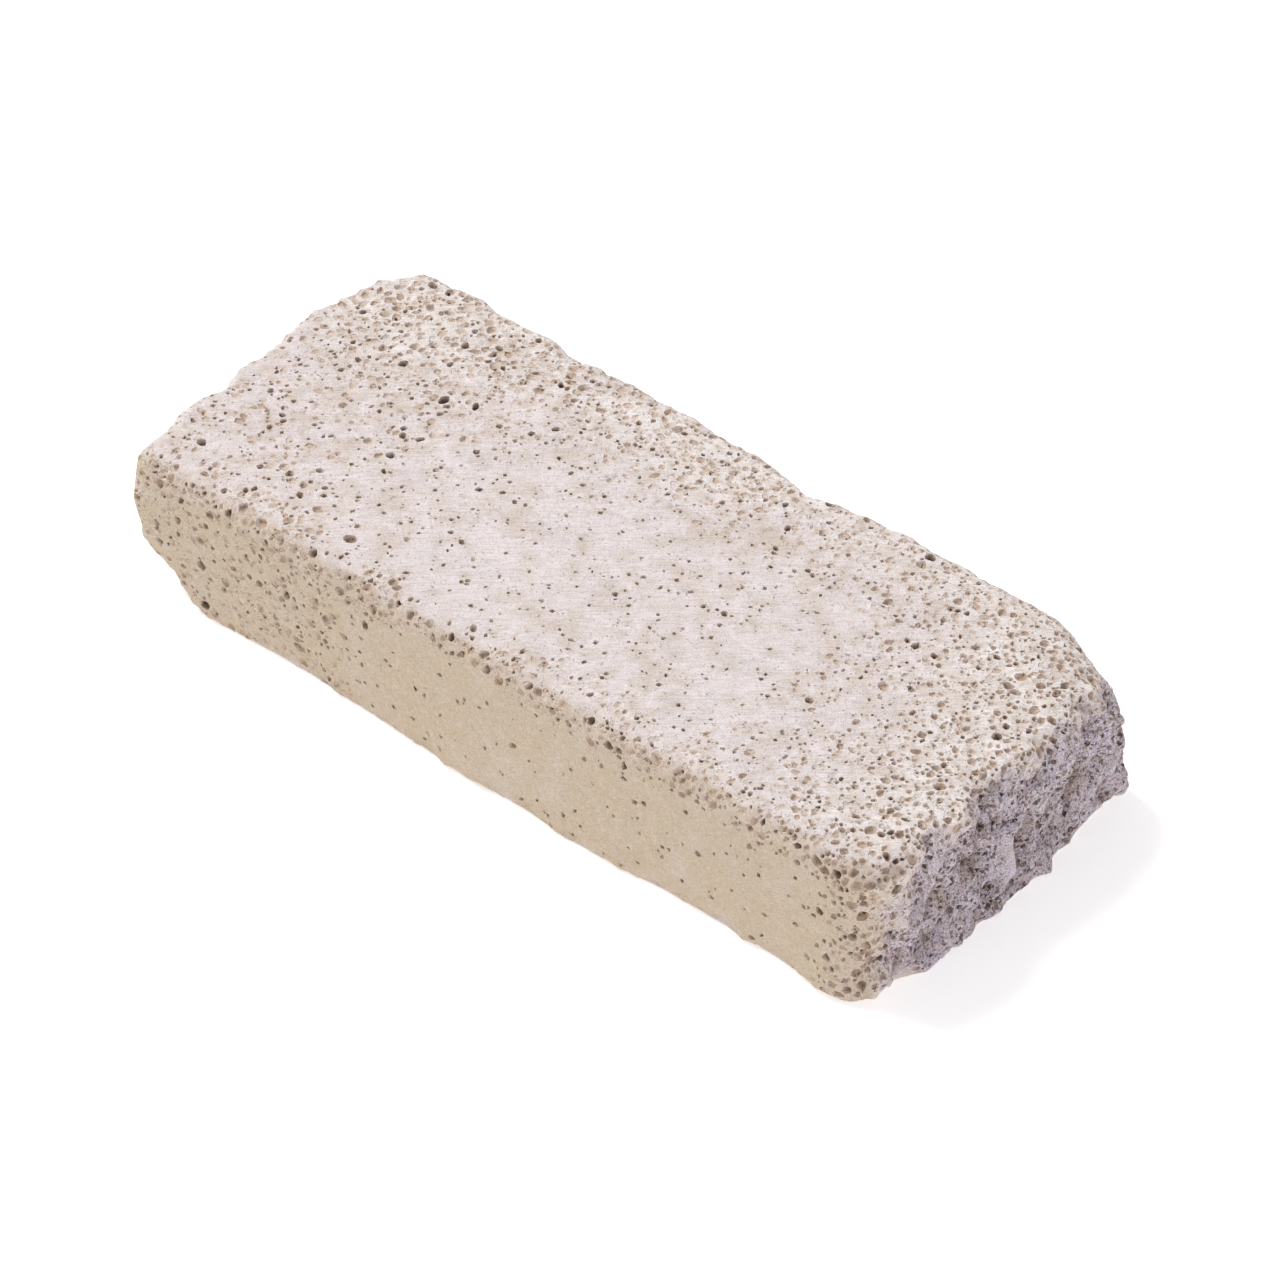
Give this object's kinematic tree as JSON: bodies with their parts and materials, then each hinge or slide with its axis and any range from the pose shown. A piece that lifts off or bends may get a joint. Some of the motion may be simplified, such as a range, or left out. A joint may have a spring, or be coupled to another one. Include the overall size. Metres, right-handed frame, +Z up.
{
  "type": "pumice stone",
  "caption": "Natural pumice scrubbing stone: a flat oblong bar with a rubbed porous top, one smooth long side and one broken craggy end.",
  "frame": {"origin": "on the floor plane, under the middle of the bar's bounding box", "axes": "+X along the bar to the broken end, -Y to the smooth tan long side, +Z up out of the rubbed top"},
  "size_m": [0.1286, 0.0548, 0.0225],
  "materials": {
    "pumice": "dry, dusty, fully matt pinkish off-white foam rock with beige pore walls, a tan smooth side and a mauve-grey broken end"
  },
  "bodies": {
    "root": {"pumice_stone": "pumice"}
  },
  "joints": []
}
